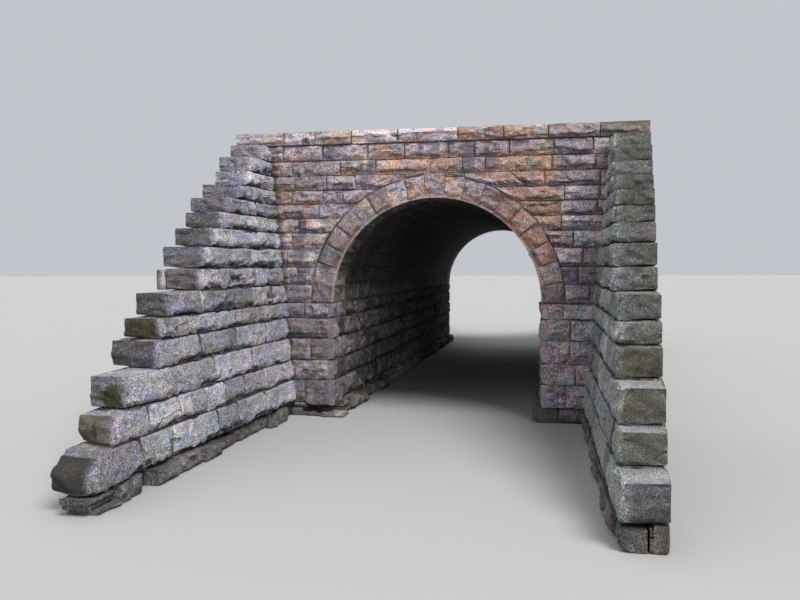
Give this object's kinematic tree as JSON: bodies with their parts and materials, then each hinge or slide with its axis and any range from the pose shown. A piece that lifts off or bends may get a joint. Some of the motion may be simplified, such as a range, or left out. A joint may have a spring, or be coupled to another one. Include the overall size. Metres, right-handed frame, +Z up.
{
  "type": "stone arch bridge",
  "caption": "Semicircular stone arch passage with voussoir rings, coursed head walls under a coping, and long stepped wing walls at both ends.",
  "frame": {"origin": "on the ground plane, under the middle of the passage", "axes": "+Y along the passage, from the front head wall to the back one; +X across it; +Z up"},
  "size_m": [9, 35.8, 6.34],
  "materials": {
    "wall_stone": "rock-faced sandstone, weathered pinkish brown with pale lime bloom and grey streaks",
    "ring_stone": "dressed sandstone with a tooled margin along the edge, brown-pink to orange-brown",
    "coping_stone": "rock-faced sandstone, weathered, chipped lower edge",
    "wing_stone": "rock-faced sandstone, cool grey, lime streaks, moss on the exposed ends",
    "barrel_stone": "coursed sandstone, dark, damp and sooty",
    "footing_stone": "rough rubble sandstone, water worn"
  },
  "bodies": {
    "root": {"front_left_voussoirs": "ring_stone", "front_keystone": "ring_stone", "front_right_voussoirs": "ring_stone", "front_left_pier": "wall_stone", "front_right_pier": "wall_stone", "front_left_spandrel": "wall_stone", "front_right_spandrel": "wall_stone", "front_crown_wall": "wall_stone", "front_coping": "coping_stone", "front_left_wing": "wing_stone", "front_right_wing": "wing_stone", "front_left_wing_footing": "footing_stone", "front_right_wing_footing": "footing_stone", "front_left_pier_footing": "footing_stone", "front_right_pier_footing": "footing_stone", "back_left_voussoirs": "ring_stone", "back_keystone": "ring_stone", "back_right_voussoirs": "ring_stone", "back_left_pier": "wall_stone", "back_right_pier": "wall_stone", "back_left_spandrel": "wall_stone", "back_right_spandrel": "wall_stone", "back_crown_wall": "wall_stone", "back_coping": "coping_stone", "back_left_wing": "wing_stone", "back_right_wing": "wing_stone", "back_left_wing_footing": "footing_stone", "back_right_wing_footing": "footing_stone", "back_left_pier_footing": "footing_stone", "back_right_pier_footing": "footing_stone", "left_abutment": "barrel_stone", "right_abutment": "barrel_stone", "left_vault": "barrel_stone", "crown_vault": "barrel_stone", "right_vault": "barrel_stone", "left_haunch_backing": "barrel_stone", "right_haunch_backing": "barrel_stone", "left_abutment_footing": "footing_stone", "right_abutment_footing": "footing_stone"}
  },
  "joints": []
}
